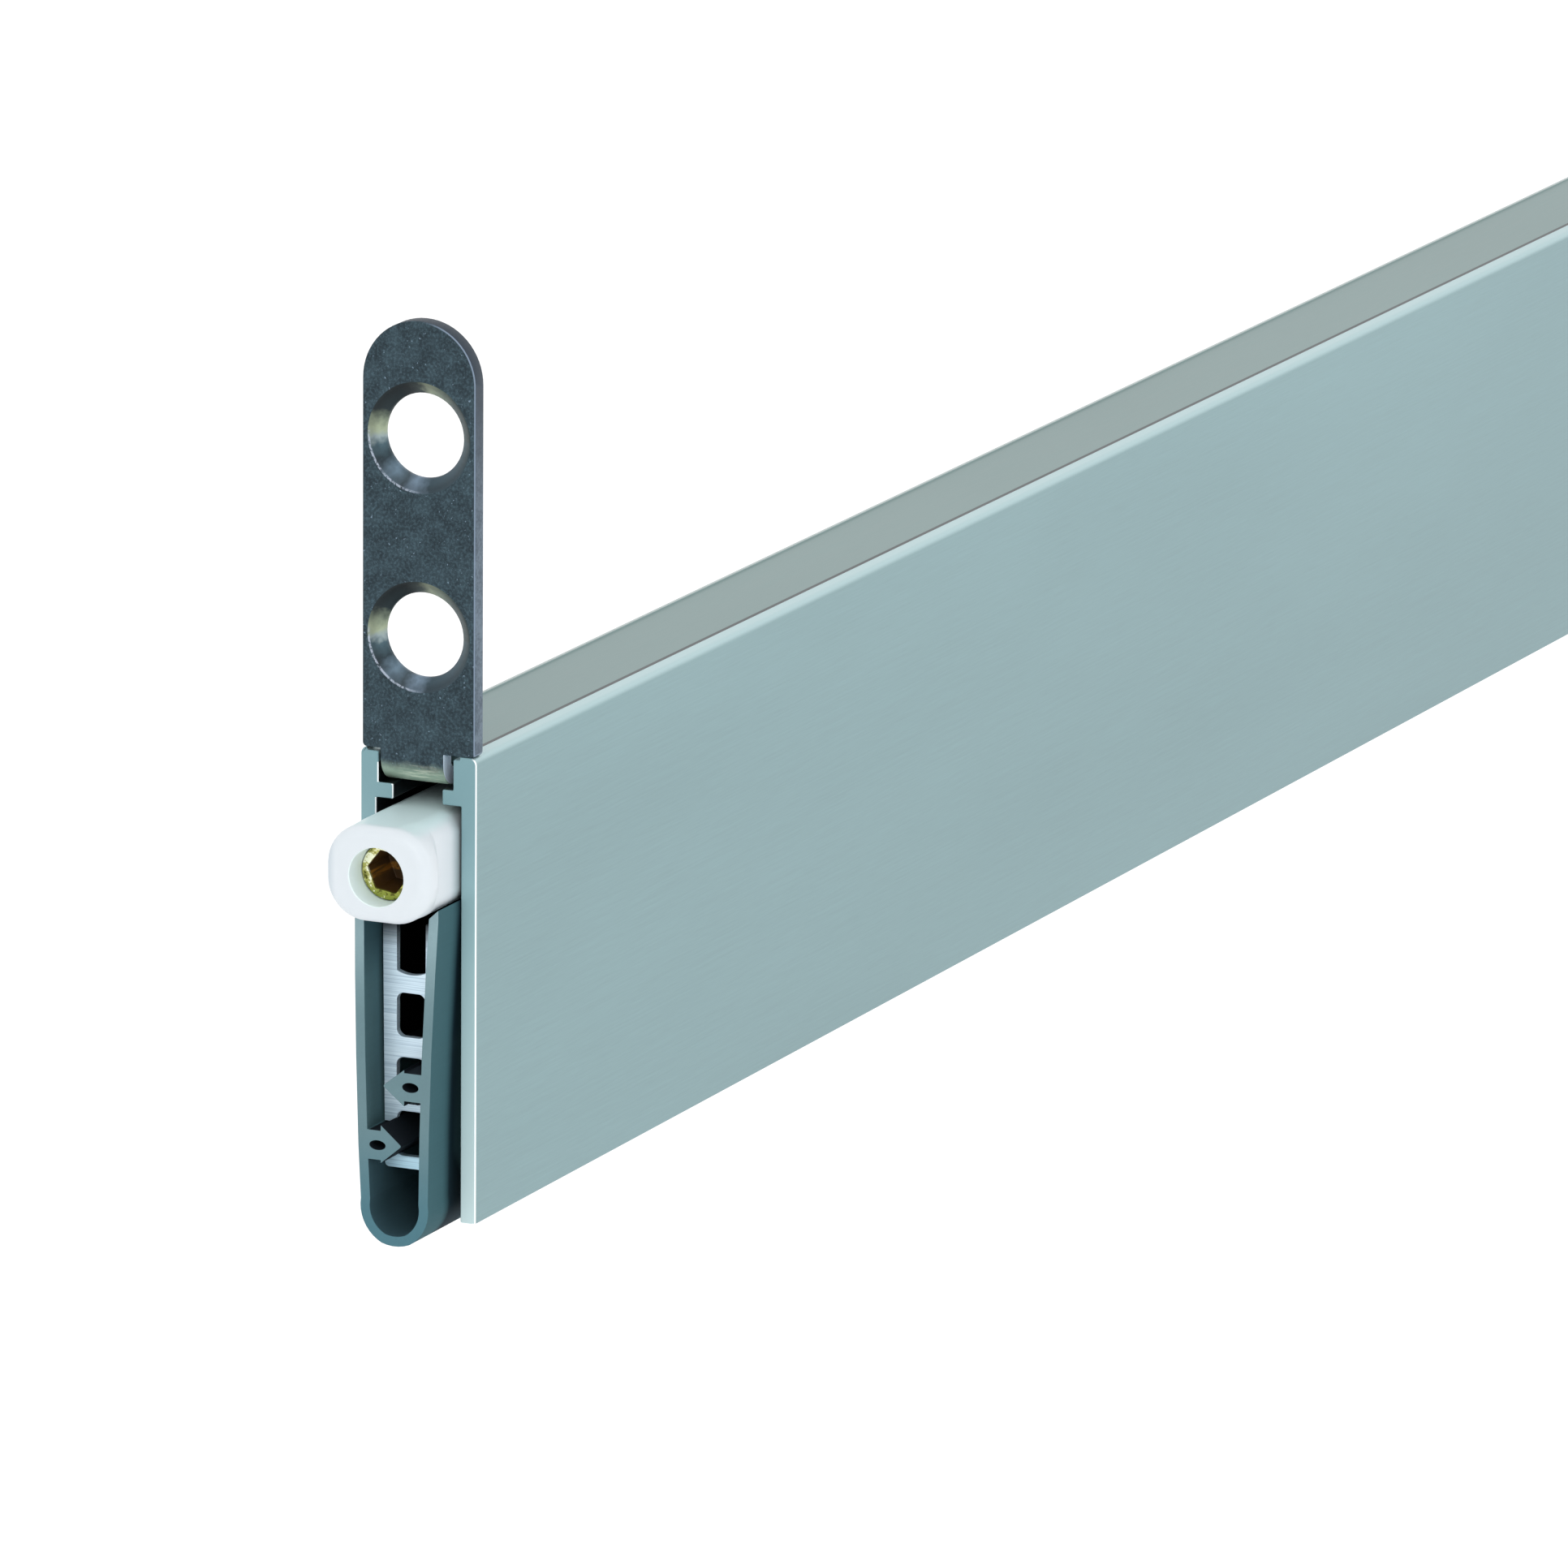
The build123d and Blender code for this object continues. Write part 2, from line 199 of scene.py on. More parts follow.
# Anodised aluminium: brushed along the length, cut ends in painted shade that pales towards the bottom, a
# painted highlight on the rounds of some cut edges.
# A pair that a step takes, here and below, is where a tone starts and where it is full.
aluminium = {
    "side": shown(125, 153, 157),
    "web": shown(109, 133, 132),
    "shadowLine": shown(30, 42, 46),
    "nearLipLight": shown(174, 200, 203),
    "farLipLight": shown(196, 206, 204),
    "cutTop": shown(116, 151, 158),
    "cutMiddle": shown(158, 192, 197),
    "cutBottom": shown(192, 214, 216),
    "edgeHighlight": shown(246, 252, 254),
    "inside": shown(14, 22, 26),
    "halfLength": 167.5 * mm,
    "edge": 0.1 * mm,
    "nearLip": 2.84 * mm,
    "farLip": 3.59 * mm,
    "lipHeights": (-0.3 * mm, 0.05 * mm),
    "webHeights": (-0.45 * mm, -0.1 * mm),
    "lineFromLip": (-0.54 * mm, -0.46 * mm),
    "underPlate": (166.2 * mm, 166.35 * mm),
    "bottom": -29.85 * mm,
    "bottomToTop": (0.98, 1.07),
    "hollowHalf": (-3.05 * mm, -2.98 * mm),
    "hollowDepth": (0.72 * mm, 0.76 * mm),
    "cutDepths": (0.0, 14 * mm),
    "cutLowHeights": (-12 * mm, -28.05 * mm),
    "highlightSide": (3.62 * mm, 3.9 * mm),
    # face across the width, lower and upper end of its edge with the painted highlight
    "highlightFaces": (
        (2.8 * mm, -2.05 * mm, -0.75 * mm),
        (1.77 * mm, -3.02 * mm, -2.05 * mm),
        (2.95 * mm, -29.9 * mm, -3.02 * mm),
    ),
}


def makeAluminium():
    look = aluminium
    f = Finish("anodisedAluminium")
    streaks = f.noise((110, 7000, 7000), detail=4, roughness=0.6)
    fine = f.noise((420, 24000, 24000), detail=2, roughness=0.5, shift=3.0)
    cloud = f.noise((14, 40, 60), detail=3, roughness=0.5, shift=7.0)
    grain = 1.0 + (streaks - 0.5) * 0.26 + (fine - 0.5) * 0.14 + (cloud - 0.5) * 0.22

    # Long outside: side, recessed web with a painted shadow as a dark line beside the near lip, painted light
    # as pale bands on both lips
    upper = f.step(f.z, *look["lipHeights"])
    nearLipLight = f.step(-f.y, look["nearLip"] - 3 * feather, look["nearLip"] + feather)
    farLipLight = f.step(f.y, look["farLip"] - 3 * feather, look["farLip"] + feather)
    web = f.step(f.z, *look["webHeights"]) * (1.0 - nearLipLight) * (1.0 - farLipLight)
    # Painted light: the side grows brighter towards the top
    height = f.spread(f.z, look["bottom"], 0, *look["bottomToTop"])
    skin = f.tint(f.mix(web, look["side"], look["web"]), grain * height)
    # Painted shadow: a dark line on the web beside the near lip, left out under the plates
    lineStart, lineFull = look["lineFromLip"]
    lipShadowLine = web * f.step(-f.y, look["nearLip"] + lineStart, look["nearLip"] + lineFull)
    underPlate = f.step(abs(f.x), *look["underPlate"])
    skin = f.mix(lipShadowLine * (1.0 - underPlate), skin, look["shadowLine"])
    # Painted light: the web under the plates takes the near lip's pale tone
    skin = f.mix(web * underPlate, skin, look["nearLipLight"])
    # Painted light: pale bands on the tops of both lips
    skin = f.mix(upper * nearLipLight, skin, look["nearLipLight"])
    skin = f.mix(upper * farLipLight, skin, look["farLipLight"])
    # Painted shade: the hollow inside the housing is near black
    hollowShade = f.step(-abs(f.y), *look["hollowHalf"]) * f.step(-f.z, *look["hollowDepth"])
    skin = f.mix(hollowShade, skin, look["inside"])

    # Cut ends in painted shade, and the rounds at their rim, with a painted highlight on the rounds that face
    # the near side
    # Painted shade on the cut ends, deepest at the top and paler towards the bottom
    cut = f.mix(f.step(-f.z, *look["cutDepths"]), look["cutTop"], look["cutMiddle"])
    cut = f.mix(f.spread(f.z, *look["cutLowHeights"], 0, 1), cut, look["cutBottom"])
    reach = abs(f.x)
    atEnd = f.step(reach, look["halfLength"] - 2 * feather, look["halfLength"] - 0.4 * feather)
    rimPlace = look["halfLength"] - look["edge"]
    rim = f.step(reach, rimPlace - feather, rimPlace + feather)
    highlit = f.step(-f.y, *look["highlightSide"])
    for side, low, high in look["highlightFaces"]:
        inner = f.step(f.y, side - 2 * feather, side)
        outer = f.step(-f.y, -side - look["edge"] - 2 * feather, -side - look["edge"])
        tall = f.step(f.z, low, low + 2 * feather) * f.step(-f.z, -high, -high + 2 * feather)
        highlit = f.larger(highlit, inner * outer * tall)
    colour = f.mix(f.larger(atEnd, rim), skin, cut)
    # Painted highlight: near-white on the rounds of the cut edges that face the near side
    colour = f.mix(rim * (1.0 - atEnd) * highlit, colour, look["edgeHighlight"])
    return f.surface(
        baseColor=colour,
        metallic=f.spread(rim, 0, 1, 0.6, 0.2),
        roughness=0.36 + (streaks - 0.5) * 0.12 + rim * 0.14,
        normal=f.bump(streaks + fine * 0.4, 0.1, 0.02 * mm),
    )


# Dark steel plate: fine speckle, sheared edges, turned countersinks in painted light and shade, painted light
# on the bend with painted highlights
steel = {
    "face": shown(24, 40, 48),
    "mottle": shown(62, 84, 94),
    "speck": shown(136, 160, 180),
    "sheared": shown(100, 116, 130),
    "shearedDark": shown(66, 82, 96),
    "shearedTop": shown(40, 52, 64),
    "arrisHighlight": shown(128, 144, 164),
    "rimHighlight": shown(170, 180, 196),
    "neck": shown(216, 234, 250),
    "bend": shown(146, 169, 152),
    "bendWorn": shown(216, 226, 206),
    "mottleRange": (0.35, 0.7),
    "mottleShare": 0.4,
    "gritRange": (0.42, 0.66),
    "gritShare": 0.6,
    "speckRange": (0.66, 0.74),
    "speckShare": 0.7,
    "halfWidth": 3.9 * mm,
    "plateBottom": 0.15 * mm,
    "roundCentre": 23.7 * mm,
    "arrisFromEdge": (-0.11 * mm, -0.07 * mm),
    "arrisAcross": (0.0, 2 * mm),
    "arrisShare": 0.8,
    "shearedRange": (0.8, 1.2),
    "shearedHeights": (12 * mm, 27 * mm),
    "holes": (7.5 * mm, 20.2 * mm),
    "sinkRadius": 3.5 * mm,
    "sinkShade": (2.9 * mm, 3.35 * mm),
    "sinkDarker": 0.35,
    "rimRadii": (3.4 * mm, 3.45 * mm),
    "rimDepth": (-0.6 * mm, 0.4 * mm),
    "rimAcross": (-0.4 * mm, 1.2 * mm),
    "rimGrit": (0.4, 0.55),
    "rimShare": 0.75,
    "neckNear": 1.73 * mm,
    "bendInner": 166.0 * mm,
    "bendFade": 0.5 * mm,
    "bendWaver": 0.6 * mm,
    "bendDepth": (0.45 * mm, 1.45 * mm),
    "glintDrag": (0.4, 0.64),
    "glintHalf": (-1.9 * mm, -0.6 * mm),
    "turnedWaver": 0.05,
    # share of the turn, from the near side down and round, and the tone of painted light and shade there
    "turned": (
        (0.00, shown(60, 80, 86)),
        (0.12, shown(66, 84, 94)),
        (0.22, shown(56, 74, 84)),
        (0.27, shown(112, 132, 150)),
        (0.31, shown(62, 76, 84)),
        (0.36, shown(100, 122, 138)),
        (0.41, shown(40, 56, 64)),
        (0.46, shown(70, 94, 104)),
        (0.485, shown(148, 164, 166)),
        (0.51, shown(160, 172, 146)),
        (0.545, shown(120, 132, 114)),
        (0.58, shown(34, 46, 50)),
        (0.70, shown(20, 30, 34)),
        (0.745, shown(44, 56, 56)),
        (0.78, shown(132, 142, 122)),
        (0.82, shown(104, 118, 104)),
        (0.88, shown(58, 74, 76)),
    ),
}


def makeDarkSteel():
    look = steel
    f = Finish("darkSteel")
    mottle = f.noise((900, 900, 900), detail=4, roughness=0.65)
    grit = f.noise((5200, 5200, 5200), detail=3, roughness=0.7, shift=2.0)
    specks = f.step(f.noise((3600, 3600, 3600), detail=2, roughness=0.7, shift=9.0), *look["speckRange"])
    mottled = f.step(mottle, *look["mottleRange"]) * look["mottleShare"]
    gritty = f.step(grit, *look["gritRange"]) * look["gritShare"]
    colour = f.mix(mottled + gritty, look["face"], look["mottle"])
    colour = f.mix(specks * look["speckShare"], colour, look["speck"])

    # Sheared side of the plate and a painted highlight on the arris along its near edge
    reach = f.distance(f.y, f.larger(f.z - look["roundCentre"], 0.0))
    side = f.step(reach, look["halfWidth"] - 2 * feather, look["halfWidth"] - feather)
    arrisStart, arrisFull = look["arrisFromEdge"]
    arrisHighlight = f.step(reach, look["halfWidth"] + arrisStart, look["halfWidth"] + arrisFull)
    arrisHighlight = arrisHighlight * f.step(-f.y, *look["arrisAcross"])
    shearedColour = f.mix(f.step(grit + mottle, *look["shearedRange"]), look["shearedDark"], look["sheared"])
    shearedColour = f.mix(f.step(f.z, *look["shearedHeights"]), shearedColour, look["shearedTop"])
    colour = f.mix(arrisHighlight * look["arrisShare"], colour, look["arrisHighlight"])
    colour = f.mix(side, colour, shearedColour)

    # Turned countersinks in painted light and shade round the cone, with a painted highlight on a stretch of
    # rim
    waver = f.noise((1800, 1800, 1800), detail=2, shift=5.0)
    stops = [(place, solid(tone)) for place, tone in look["turned"]]
    for height in look["holes"]:
        up = f.z - height
        radius = f.distance(f.y, up)
        ring = f.step(-radius, -look["sinkRadius"] - 6 * feather, -look["sinkRadius"] - 2 * feather)
        angle = f.node("ShaderNodeMath", {"operation": "ARCTAN2"}, {0: up, 1: f.y})
        turn = angle / (2 * math.pi) + 0.5 + (waver - 0.5) * look["turnedWaver"]
        # Painted light and shade: tones set by the turn round the cone
        turned = f.node("ShaderNodeValToRGB", {"stops": stops}, {0: turn})
        # Painted shade: the cone darkens towards the outside
        outward = f.step(radius, *look["sinkShade"])
        turned = f.tint(turned, 1.0 - outward * look["sinkDarker"])
        colour = f.mix(ring, colour, turned)
        # Painted highlight on a stretch of the countersink's rim
        rim = f.step(radius, *look["rimRadii"]) * ring
        rim = rim * f.step(-up, *look["rimDepth"]) * f.step(f.y, *look["rimAcross"])
        rim = rim * f.step(grit, *look["rimGrit"])
        colour = f.mix(rim * look["rimShare"], colour, look["rimHighlight"])

    # Bend and neck below the plate: painted light on the bend with painted highlights, painted light on the
    # neck's side
    below = f.step(-f.z, -look["plateBottom"] - 2 * feather, -look["plateBottom"] + 2 * feather)
    atPlate = f.step(abs(f.x), look["bendInner"] - look["bendFade"], look["bendInner"])
    neckSide = below * f.step(-f.y, look["neckNear"] - 3 * feather, look["neckNear"] - feather)
    drag = f.noise((2400, 500, 5200), detail=3, roughness=0.6, shift=8.0)
    # Painted light on the bend, streaked with painted highlights
    bend = f.step((mottle - 0.5) * look["bendWaver"] - f.z, *look["bendDepth"])
    glint = f.step(drag, *look["glintDrag"]) * f.step(-abs(f.y), *look["glintHalf"])
    colour = f.mix(bend * atPlate, colour, f.mix(glint, look["bend"], look["bendWorn"]))
    # Painted light on the neck's side next to the plate, where the housing's lip shades it
    colour = f.mix(neckSide, colour, f.mix(atPlate, shearedColour, look["neck"]))
    return f.surface(
        baseColor=colour,
        metallic=0.25,
        roughness=0.48 + (grit - 0.5) * 0.25,
        specular=0.3,
        normal=f.bump(grit + mottle * 0.5, 0.15, 0.02 * mm),
    )


# Moulded white plastic: the plunger's front in its plain tone, painted shade on its top, its far side and its
# side next to the housing
whitePlastic = {
    "body": shown(207, 214, 219),
    "top": shown(198, 219, 221),
    "edge": shown(182, 194, 202),
    "cornerShade": shown(166, 180, 184),
    "bore": shown(236, 250, 252),
    "axisHeight": -6.55 * mm,
    "boreRadius": 1.88 * mm,
    "topHeights": (-4.15 * mm, -3.5 * mm),
    "behindFront": (-173.2 * mm, -172.3 * mm),
    "edgeAcross": (2.7 * mm, 3.6 * mm),
    "cornerAcross": (2.0 * mm, 2.8 * mm),
    "cornerAlong": (-168.8 * mm, -167.4 * mm),
}


def makeWhitePlastic():
    look = whitePlastic
    f = Finish("whitePlastic")
    soft = f.noise((900, 900, 900), detail=3, roughness=0.5)
    fine = f.noise((9000, 9000, 9000), detail=2, roughness=0.5, shift=4.0)
    onTop = f.step(f.z, *look["topHeights"])
    behind = f.step(f.x, *look["behindFront"])
    # Painted shade: the top behind the front is greyer
    colour = f.mix(onTop * behind, look["body"], look["top"])
    # Painted shade along the far side
    colour = f.mix(f.step(f.y, *look["edgeAcross"]), colour, look["edge"])
    # Painted shade on the side where it meets the housing's end
    intoCorner = f.step(-f.y, *look["cornerAcross"]) * f.step(f.x, *look["cornerAlong"])
    colour = f.mix(intoCorner, colour, look["cornerShade"])
    radius = f.distance(f.y, f.z - look["axisHeight"])
    bore = f.step(-radius, -look["boreRadius"] - 6 * feather, -look["boreRadius"] - feather)
    colour = f.mix(bore, colour, look["bore"])
    return f.surface(
        baseColor=f.tint(colour, 1.0 + (soft - 0.5) * 0.03),
        roughness=0.38 + (fine - 0.5) * 0.1,
        specular=0.4,
        subsurface=0.15,
        subsurfaceScale=0.5 * mm,
        subsurfaceRadius=(1.0, 1.0, 1.0),
        normal=f.bump(fine * 0.4 + soft, 0.05, 0.03 * mm),
    )


# Turned brass with chips and painted glints on the rim, painted shade on its lower part, painted shade inside
# the hexagon socket with a painted lit band
brass = {
    "metal": shown(196, 190, 108),
    "glint": shown(255, 252, 222),
    "low": shown(150, 158, 66),
    "dark": shown(96, 94, 34),
    "socket": shown(84, 58, 26),
    "socketLitBand": shown(170, 116, 36),
    "axisHeight": -6.55 * mm,
    "lowDepth": (0.2 * mm, 1.6 * mm),
    "lowGlint": -0.08,
    "glintRange": (0.5, 0.56),
    "darkRange": (-0.46, -0.4),
    "socketAlong": (-171.7 * mm, -171.55 * mm),
    "bandHeights": (-0.58 * mm, -0.12 * mm),
    "bandFade": 0.06 * mm,
    "bandRange": (0.3, 0.6),
}


def makeBrass():
    look = brass
    f = Finish("turnedBrass")
    chips = f.noise((1900, 1900, 1900), detail=4, roughness=0.7)
    up = f.z - look["axisHeight"]
    # Painted shade: olive below the axis
    below = f.step(-up, *look["lowDepth"])
    colour = f.mix(below, look["metal"], look["low"])
    # Painted glints: near-white specks, fewer on the lower part
    colour = f.mix(f.step(chips + below * look["lowGlint"], *look["glintRange"]), colour, look["glint"])
    colour = f.mix(f.step(-chips, *look["darkRange"]), colour, look["dark"])
    # Painted shade inside the socket, with a painted lit band across its walls
    inside = f.step(f.x, *look["socketAlong"])
    low, high = look["bandHeights"]
    fade = look["bandFade"]
    band = f.step(up, low - fade, low + fade) * f.step(-up, -high - fade, -high + fade)
    drawn = f.noise((600, 7000, 7000), detail=3, shift=4.0)
    socket = f.mix(band * f.step(drawn, *look["bandRange"]), look["socket"], look["socketLitBand"])
    colour = f.mix(inside, colour, socket)
    return f.surface(
        baseColor=colour,
        metallic=f.spread(inside, 0, 1, 0.7, 0.2),
        roughness=0.25 + chips * 0.2,
        normal=f.bump(chips, 0.6, 0.04 * mm),
    )


# Stamped stainless sheet, brushed across the width, in shade under the plunger
sheet = {
    "metal": shown(222, 242, 254),
    "groove": shown(180, 205, 221),
    "lowTint": (0.72, 0.9, 0.94, 1.0),
    "shade": shown(12, 14, 18),
    "grooveRange": (0.35, 0.7),
    "shadeHeights": (-12.8 * mm, -10.4 * mm),
    "lowDepths": (21 * mm, 27 * mm),
    "behindPlate": (-167.88 * mm, -167.7 * mm),
    "nearEnds": (150 * mm, 160 * mm),
}


def makeSheet():
    look = sheet
    f = Finish("stainlessSheet")
    streaks = f.noise((9000, 130, 12000), detail=3, roughness=0.6)
    colour = f.mix(f.step(streaks, *look["grooveRange"]), look["metal"], look["groove"])
    colour = f.mix(f.step(f.z, *look["shadeHeights"]), colour, look["shade"])
    colour = f.mix(f.step(-f.z, *look["lowDepths"]), colour, f.tint(colour, look["lowTint"]))
    # Painted shade on the sheet behind the plate, near the ends of the housing
    behind = f.step(-abs(f.x), *look["behindPlate"]) * f.step(abs(f.x), *look["nearEnds"])
    colour = f.mix(behind, colour, look["shade"])
    return f.surface(
        baseColor=colour,
        metallic=0.45,
        roughness=0.34 + streaks * 0.15,
        normal=f.bump(streaks, 0.12, 0.02 * mm),
    )


# Silicone: cut faces pale, the skin dark, with painted shade where it runs into the housing
silicone = {
    "cutTop": shown(135, 160, 166),
    "cutMiddle": shown(101, 127, 133),
    "cutBottom": shown(75, 113, 124),
    "skin": shown(59, 91, 98),
    "shadow": shown(24, 42, 50),
    "insideTop": shown(56, 84, 92),
    "inside": shown(74, 104, 110),
    "ribs": shown(30, 36, 42),
    "bulb": shown(58, 84, 93),
    "halfLength": 170.6 * mm,
    "housingEnd": 167.5 * mm,
    # height and half width of the outside, at the top and at the foot
    "outerHalf": ((-9.7 * mm, 2.75 * mm), (-28.1 * mm, 2.1 * mm)),
    "skinDepth": 0.1 * mm,
    "footCentre": (0.1 * mm, -28.7 * mm),
    "footRadius": 2.05 * mm,
    "footDepths": (28.0 * mm, 28.4 * mm),
    "cutUpperDepths": (9.5 * mm, 17 * mm),
    "cutLowerDepths": (22 * mm, 30 * mm),
    "shadeLength": 1.1 * mm,
    "shadePower": 1.8,
    "shadeFromEnd": (-1.5 * mm, -0.2 * mm),
    "footShadeDepths": (25 * mm, 29.5 * mm),
    "footShadeLength": 2.3 * mm,
    "insideDepths": (11.0 * mm, 15.0 * mm),
    "bulbDepths": (25.2 * mm, 25.7 * mm),
    "ribsHalf": (-1.95 * mm, -1.85 * mm),
    "ribsHeights": (-25.9 * mm, -25.8 * mm),
}


def makeSilicone():
    look = silicone
    f = Finish("silicone")
    soft = f.noise((400, 1200, 1200), detail=3, roughness=0.5)
    drawn = f.noise((60, 5200, 5200), detail=2, roughness=0.5, shift=2.0)

    # Cut face of the ends
    cut = f.step(abs(f.x), look["halfLength"] - 5 * feather, look["halfLength"] - feather)
    face = f.mix(f.step(-f.z, *look["cutUpperDepths"]), look["cutTop"], look["cutMiddle"])
    face = f.mix(f.step(-f.z, *look["cutLowerDepths"]), face, look["cutBottom"])

    # Outer skin down both legs and round the foot
    (topHeight, topHalf), (footHeight, footHalf) = look["outerHalf"]
    outerHalf = f.spread(f.z, footHeight, topHeight, footHalf, topHalf)
    outer = f.step(abs(f.y) - outerHalf, -look["skinDepth"], 0.0)
    footAcross, footUp = look["footCentre"]
    down = f.larger(footUp - f.z, 0.0)
    footReach = f.distance(f.y - footAcross, down)
    foot = f.step(footReach, look["footRadius"] - look["skinDepth"], look["footRadius"])
    outer = f.larger(outer, foot * f.step(-f.z, *look["footDepths"]))

    # Shade beside the housing's end, which reaches further in at the foot
    reach = abs(f.x)
    housingEnd = look["housingEnd"]
    sunk = f.spread(-reach, -housingEnd - look["shadeLength"], -housingEnd, 0, 1) ** look["shadePower"]
    seenDepth = f.step(-f.z, *look["footShadeDepths"]) * look["footShadeLength"]
    shadeStart, shadeFull = look["shadeFromEnd"]
    sunk = sunk * f.step(reach + seenDepth, housingEnd + shadeStart, housingEnd + shadeFull)
    skin = f.mix(sunk, look["skin"], look["shadow"])

    # Inside of the loop, in painted shade: deep at the top, paler down the legs, darker in the bulb, dark on
    # the ribs
    inner = f.mix(f.step(-f.z, *look["insideDepths"]), look["insideTop"], look["inside"])
    inner = f.mix(f.step(-f.z, *look["bulbDepths"]), inner, look["bulb"])
    ribs = f.step(-abs(f.y), *look["ribsHalf"]) * f.step(f.z, *look["ribsHeights"])
    inner = f.mix(ribs, inner, look["ribs"])
    colour = f.mix(outer, inner, skin)
    colour = f.mix(cut, colour, face)
    colour = f.tint(colour, 1.0 + (soft - 0.5) * 0.1 + (drawn - 0.5) * 0.08)
    return f.surface(
        baseColor=colour,
        roughness=0.7 + (soft - 0.5) * 0.15,
        specular=0.05,
        normal=f.bump(drawn + soft * 0.6, 0.08, 0.03 * mm),
    )


# Zinc-plated steel of the mechanism and drawn wire of the spring, both with painted shade near the ends of
# the housing
zinc = {"metal": shown(178, 186, 192), "dull": shown(136, 146, 154), "dark": shown(14, 18, 22)}
wire = {"metal": shown(150, 156, 162), "dull": shown(96, 102, 108), "dark": shown(14, 18, 22)}
plated = {"bloomShare": 0.6, "drawnShare": 0.4, "dullRange": (0.35, 0.7), "darkReach": (130 * mm, 162 * mm)}


def makePlated(name, look):
    f = Finish(name)
    bloom = f.noise((1500, 1500, 1500), detail=4, roughness=0.6)
    drawn = f.noise((500, 6000, 6000), detail=3, roughness=0.6, shift=6.0)
    dull = bloom * plated["bloomShare"] + drawn * plated["drawnShare"]
    colour = f.mix(f.step(dull, *plated["dullRange"]), look["metal"], look["dull"])
    # Painted shade near the ends of the housing
    colour = f.mix(f.step(abs(f.x), *plated["darkReach"]), colour, look["dark"])
    return f.surface(
        baseColor=colour,
        metallic=0.9,
        roughness=0.32 + bloom * 0.2,
        normal=f.bump(drawn, 0.1, 0.02 * mm),
    )


finishes = {
    "anodised_aluminium": makeAluminium(),
    "dark_steel": makeDarkSteel(),
    "white_plastic": makeWhitePlastic(),
    "brass": makeBrass(),
    "stainless_sheet": makeSheet(),
    "silicone": makeSilicone(),
    "zinc_steel": makePlated("zincSteel", zinc),
    "spring_wire": makePlated("springWire", wire),
}
print("finishes made", len(finishes))

slotOf = {part["node"]: part["material_slot"] for part in frame["record"]["subparts"]}
bodyOf = {name: body for body, names in frame["record"]["behaviour"]["bodies"].items() for name in names}


def dress(piece, slotName):
    piece.data.materials.clear()
    piece.data.materials.append(finishes[slotName])


for name, node in nodes.items():
    dress(node, slotOf[name])
print("nodes dressed")


# A new piece in place of a node, in the node's material and on its body
sharpAngle = math.radians(32)


def addPiece(nodeName, pieceName, shape):
    mesh = bpy.data.meshes.new(pieceName)
    shape.to_mesh(mesh)
    shape.free()
    for face in mesh.polygons:
        face.use_smooth = True
    mesh.set_sharp_from_angle(angle=sharpAngle)
    piece = bpy.data.objects.new(pieceName, mesh)
    bpy.context.scene.collection.objects.link(piece)
    dress(piece, slotOf[nodeName])
    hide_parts(nodeName)
    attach(piece, bodyOf[nodeName])
    return piece


# A copy of a node with its doubles merged, flat faces whole and a fine round on every sharp edge
mergeDistance = 0.0005 * mm
flatAngle = math.radians(0.3)
roundSegments = 3
edges = {
    "housing": ("housingProfile", aluminium["edge"]),
    "near_bracket": ("nearBracketPlate", 0.1 * mm),
    "far_bracket": ("farBracketPlate", 0.1 * mm),
    "near_end_clip": ("nearLadderPlate", 0.04 * mm),
    "far_end_clip": ("farLadderPlate", 0.04 * mm),
    "seal": ("sealStrip", 0.04 * mm),
    "adjust_screw": ("adjustingScrew", 0.05 * mm),
    "plunger": ("plungerBody", 0.12 * mm),
}


def roundEdges(nodeName, pieceName, width):
    shape = bmesh.new()
    shape.from_mesh(nodes[nodeName].data)
    bmesh.ops.remove_doubles(shape, verts=shape.verts, dist=mergeDistance)
    bmesh.ops.dissolve_limit(shape, angle_limit=flatAngle, verts=shape.verts, edges=shape.edges)
    bmesh.ops.bevel(
        shape,
        geom=[edge for edge in shape.edges if edge.calc_face_angle(0.0) > sharpAngle],
        offset=width,
        segments=roundSegments,
        profile=0.5,
        affect="EDGES",
        material=-1,
    )
    piece = addPiece(nodeName, pieceName, shape)
    evenShading = piece.modifiers.new("evenShading", "WEIGHTED_NORMAL")
    evenShading.keep_sharp = True


for nodeName, (pieceName, width) in edges.items():
    roundEdges(nodeName, pieceName, width)
print("edges rounded", len(edges))


# Return spring: round wire wound between its two seats, squashed as the plunger is pressed
spring = {
    "coilRadius": 1.85 * mm,
    "wireRadius": 0.25 * mm,
    "wireSides": 12,
    "axisHeight": -6.55 * mm,
    "seats": (66.0 * mm, 88.5 * mm),
    "turns": 6,
    "turnSteps": 28,
    "travel": 3.2 * mm,
}


def makeSpring():
    look = spring
    left, right = look["seats"]
    radius = look["wireRadius"]
    steps = look["turns"] * look["turnSteps"]
    advance = (right - left - 2 * radius) / steps
    lean = math.atan2(advance * look["turnSteps"], 2 * math.pi * look["coilRadius"])
    centre = Vector((left + radius, 0, look["axisHeight"]))
    shape = bmesh.new()
    ring = bmesh.ops.create_circle(shape, segments=look["wireSides"], radius=radius, cap_ends=True)
    place = Matrix.Translation(centre + Vector((0, 0, look["coilRadius"])))
    turned = place @ Matrix.Rotation(lean, 4, "Z") @ Matrix.Rotation(math.pi / 2, 4, "X")
    bmesh.ops.transform(shape, matrix=turned, verts=ring["verts"])
    bmesh.ops.spin(
        shape,
        geom=shape.verts[:] + shape.edges[:] + shape.faces[:],
        cent=centre,
        axis=(1, 0, 0),
        dvec=(advance, 0, 0),
        angle=2 * math.pi * look["turns"],
        steps=steps,
        use_merge=False,
    )
    bmesh.ops.recalc_face_normals(shape, faces=shape.faces)
    piece = addPiece("return_spring", "springCoil", shape)
    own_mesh(piece)


makeSpring()
print("spring wound")


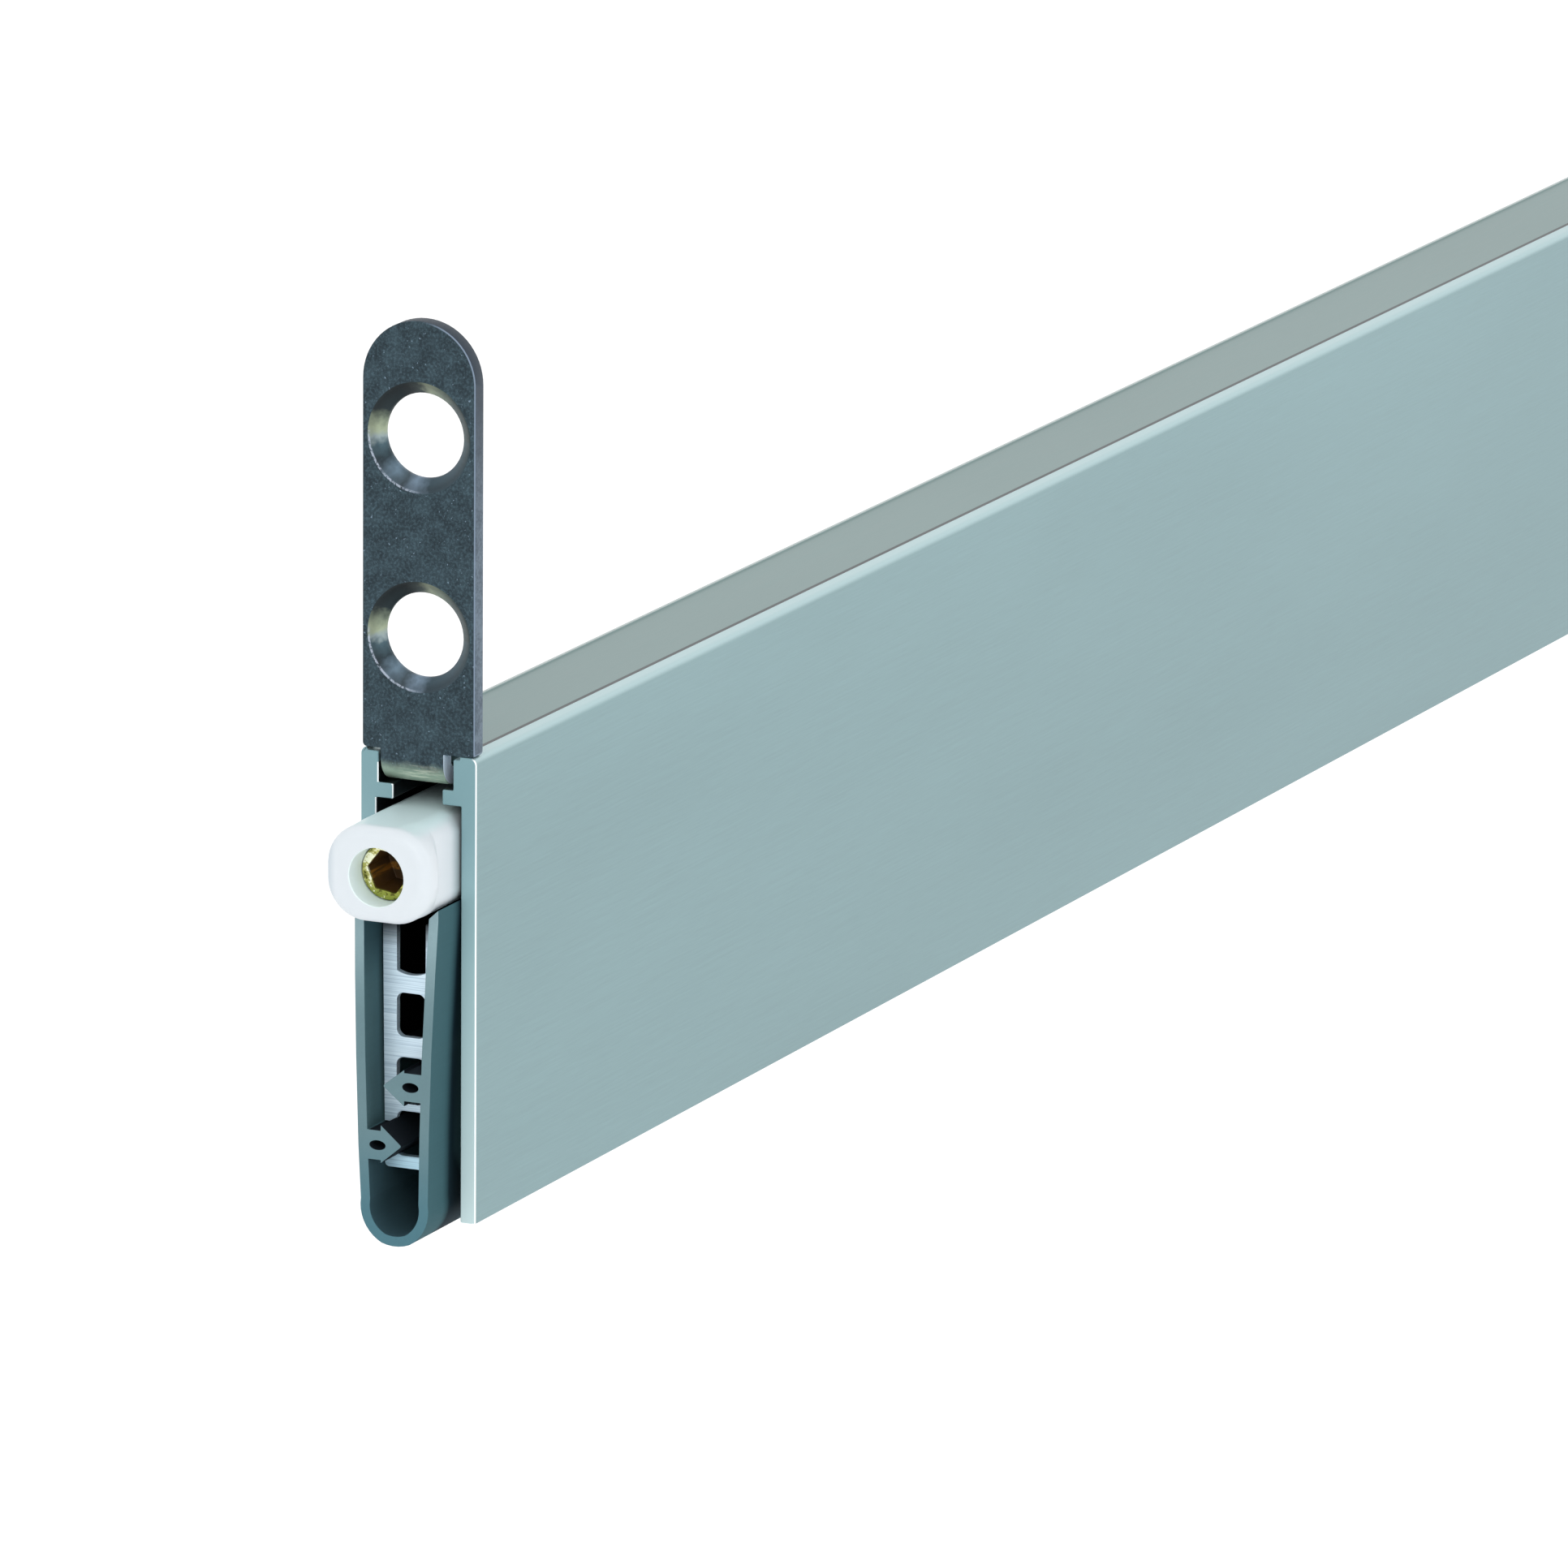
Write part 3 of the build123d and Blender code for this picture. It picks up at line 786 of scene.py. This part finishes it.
# Floor, light and camera
studio = {
    "floorHeight": -150 * mm,
    "floorSize": 40.0,
    "floorColour": (1.0, 1.0, 1.0),
    "skyColour": (1.0, 1.0, 1.0),
    "skyStrength": 1.05,
}
lamps = [
    # name, place, aimed at, size, power
    ("frontKey", (-1.5, -0.55, 0.75), (-0.165, 0, -0.01), 0.9, 5),
    ("sideFill", (0.2, -1.7, 0.9), (0, 0, -0.015), 1.2, 3),
    ("topGlow", (0.1, 0.9, 1.6), (0, 0, 0), 1.0, 2),
]
view = {
    "place": (-1.04392, -0.42959, 0.23611),
    "azimuth": math.radians(-65.225),
    "elevation": math.radians(13.697),
    "roll": math.radians(0.397),
    "lens": 370.11,
    "sensor": 36.0,
    "nearest": 0.01,
    "furthest": 200.0,
}


def makeFloor():
    shape = bmesh.new()
    bmesh.ops.create_grid(shape, x_segments=1, y_segments=1, size=studio["floorSize"] / 2)
    bmesh.ops.translate(shape, verts=shape.verts, vec=(0, 0, studio["floorHeight"]))
    mesh = bpy.data.meshes.new("studioFloor")
    shape.to_mesh(mesh)
    shape.free()
    floor = bpy.data.objects.new("studioFloor", mesh)
    bpy.context.scene.collection.objects.link(floor)
    f = Finish("paleFloor")
    mesh.materials.append(f.surface(baseColor=studio["floorColour"], roughness=0.9, specular=0.2))


def makeSky():
    world = bpy.data.worlds.new("studioSky")
    world.use_nodes = True
    background = world.node_tree.nodes["Background"]
    background.inputs["Color"].default_value = (*studio["skyColour"], 1.0)
    background.inputs["Strength"].default_value = studio["skyStrength"]
    bpy.context.scene.world = world


def makeLamp(name, place, target, size, power):
    light = bpy.data.lights.new(name, "AREA")
    light.shape = "SQUARE"
    light.size = size
    light.energy = power
    lamp = bpy.data.objects.new(name, light)
    lamp.location = place
    lamp.rotation_euler = (Vector(target) - Vector(place)).to_track_quat("-Z", "Y").to_euler()
    bpy.context.scene.collection.objects.link(lamp)


def makeCamera():
    data = bpy.data.cameras.new("camera")
    data.lens = view["lens"]
    data.sensor_width = view["sensor"]
    data.clip_start = view["nearest"]
    data.clip_end = view["furthest"]
    camera = bpy.data.objects.new("camera", data)
    turn, lift = view["azimuth"], view["elevation"]
    back = Vector((math.sin(turn) * math.cos(lift), -math.cos(turn) * math.cos(lift), math.sin(lift)))
    camera.location = view["place"]
    aim = (-back).to_track_quat("-Z", "Y")
    camera.rotation_euler = (aim @ Quaternion((0, 0, 1), view["roll"])).to_euler()
    bpy.context.scene.collection.objects.link(camera)
    bpy.context.scene.camera = camera


makeFloor()
makeSky()
for lamp in lamps:
    makeLamp(*lamp)
makeCamera()
bpy.context.scene.view_settings.view_transform = "Standard"
print("studio ready")
